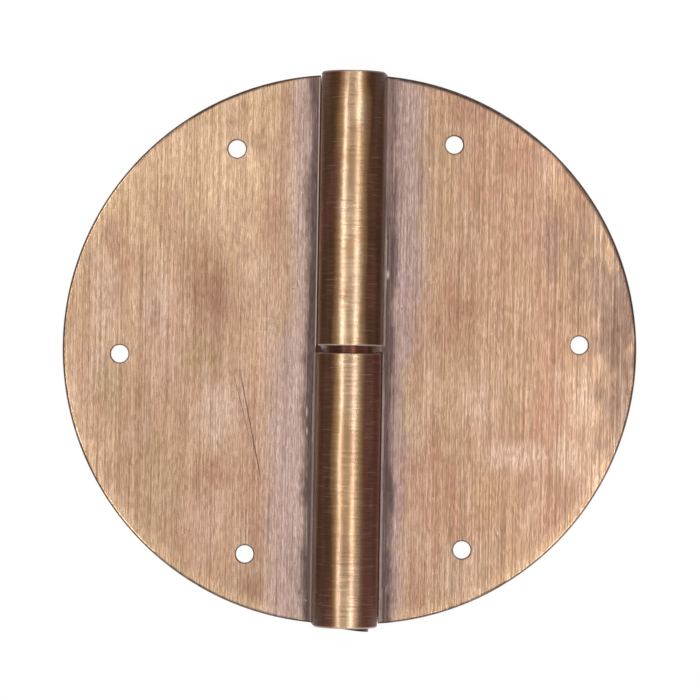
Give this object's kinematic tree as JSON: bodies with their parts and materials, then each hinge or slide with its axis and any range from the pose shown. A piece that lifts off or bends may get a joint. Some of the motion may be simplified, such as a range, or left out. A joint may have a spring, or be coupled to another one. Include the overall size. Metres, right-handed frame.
{
  "type": "cabinet hinge",
  "caption": "Round surface-mounted lift-off cabinet hinge: two half-disc brass leaves, each with a rolled knuckle on a stout pin, and plain screw holes near the rim.",
  "frame": {"origin": "on the back plane of the leaves, under the middle of the pin axis", "axes": "+X from the frame leaf to the door leaf, +Y along the pin towards the door leaf's knuckle, +Z out of the front of the leaves"},
  "size_m": [0.1044, 0.1011, 0.0116],
  "materials": {
    "leaf_brass": "brushed, with an aged copper-brown patina",
    "pin_brass": "turned, darkened",
    "plug_brass": "filed flush, darkened"
  },
  "bodies": {
    "frame_leaf": {"left_leaf": "leaf_brass"},
    "pin": {"hinge_pin": "pin_brass"},
    "door_leaf": {"right_leaf": "leaf_brass", "top_plug": "plug_brass"}
  },
  "joints": [
    {"name": "door_swing", "type": "hinge", "parent": "frame_leaf", "child": "pin", "pos_m": [0, 0, 0.0058], "axis": [0, -1, 0], "range_deg": [-90, 180]},
    {"name": "door_lift", "type": "slide", "parent": "pin", "child": "door_leaf", "axis": [0, 1, 0], "range_m": [0, 0.05]}
  ]
}
